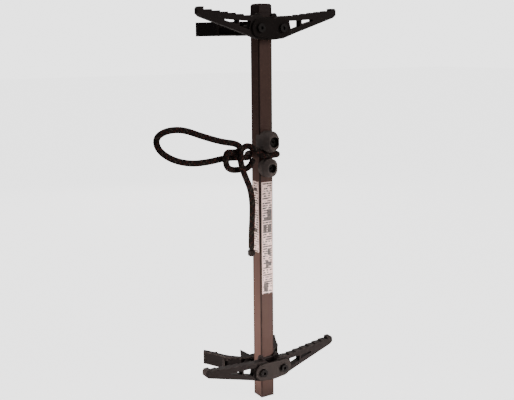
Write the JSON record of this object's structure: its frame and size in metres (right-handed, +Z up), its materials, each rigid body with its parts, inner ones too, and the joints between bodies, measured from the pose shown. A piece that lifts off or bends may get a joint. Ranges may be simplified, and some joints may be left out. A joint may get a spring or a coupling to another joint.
{
  "type": "tree climbing stick",
  "caption": "Single-tube tree climbing stick with two pairs of folding toothed steps, V tree brackets at both ends, two rope cleats and a knotted rope.",
  "frame": {"origin": "centre of the tube's bottom end", "axes": "+Z up the tube, +Y towards the tree trunk, +X to the right of a climber who faces the tree"},
  "size_m": [0.3428, 0.1332, 0.6965],
  "materials": {
    "tube_paint": "satin",
    "black_plastic": "matte",
    "step_metal": "matte",
    "bracket_metal": "matte",
    "bolt_steel": "satin",
    "bush_brass": "satin",
    "washer_plastic": "matte",
    "cleat_plastic": "matte",
    "label_paper": "matte",
    "rope_fibre": "matte"
  },
  "bodies": {
    "stick": {"tube": "tube_paint", "top_cap": "black_plastic", "bottom_plug": "black_plastic", "lower_base_plate": "step_metal", "lower_front_plate": "step_metal", "lower_pivot_bolts": "bolt_steel", "lower_pivot_bushes": "bush_brass", "lower_thrust_washers": "washer_plastic", "lower_spacer_sleeves": "bolt_steel", "lower_bracket_washers": "bolt_steel", "lower_lock_nuts": "bolt_steel", "lower_tree_bracket": "bracket_metal", "upper_base_plate": "step_metal", "upper_front_plate": "step_metal", "upper_pivot_bolts": "bolt_steel", "upper_pivot_bushes": "bush_brass", "upper_thrust_washers": "washer_plastic", "upper_spacer_sleeves": "bolt_steel", "upper_bracket_washers": "bolt_steel", "upper_lock_nuts": "bolt_steel", "upper_tree_bracket": "bracket_metal", "upper_cleat": "cleat_plastic", "lower_cleat": "cleat_plastic", "cleat_bolts": "bolt_steel", "cleat_washers": "bolt_steel", "cleat_nuts": "bolt_steel", "front_label": "label_paper", "side_label": "label_paper", "rope": "rope_fibre", "rope_stopper": "rope_fibre"},
    "lower_left": {"lower_left_step": "step_metal"},
    "lower_right": {"lower_right_step": "step_metal"},
    "upper_left": {"upper_left_step": "step_metal"},
    "upper_right": {"upper_right_step": "step_metal"}
  },
  "joints": [
    {"name": "upper_left_fold", "type": "hinge", "parent": "stick", "child": "upper_left", "pos_m": [-0.0215, -0.0235, 0.656], "axis": [0, 1, 0], "range_deg": [-2.5, 80]},
    {"name": "upper_right_fold", "type": "hinge", "parent": "stick", "child": "upper_right", "pos_m": [0.0215, -0.0235, 0.656], "axis": [0, -1, 0], "range_deg": [-2.5, 80]},
    {"name": "lower_left_fold", "type": "hinge", "parent": "stick", "child": "lower_left", "pos_m": [-0.0215, -0.0235, 0.058], "axis": [0, 1, 0], "range_deg": [0, 82.5]},
    {"name": "lower_right_fold", "type": "hinge", "parent": "stick", "child": "lower_right", "pos_m": [0.0215, -0.0235, 0.058], "axis": [0, -1, 0], "range_deg": [-4, 78.5]}
  ]
}
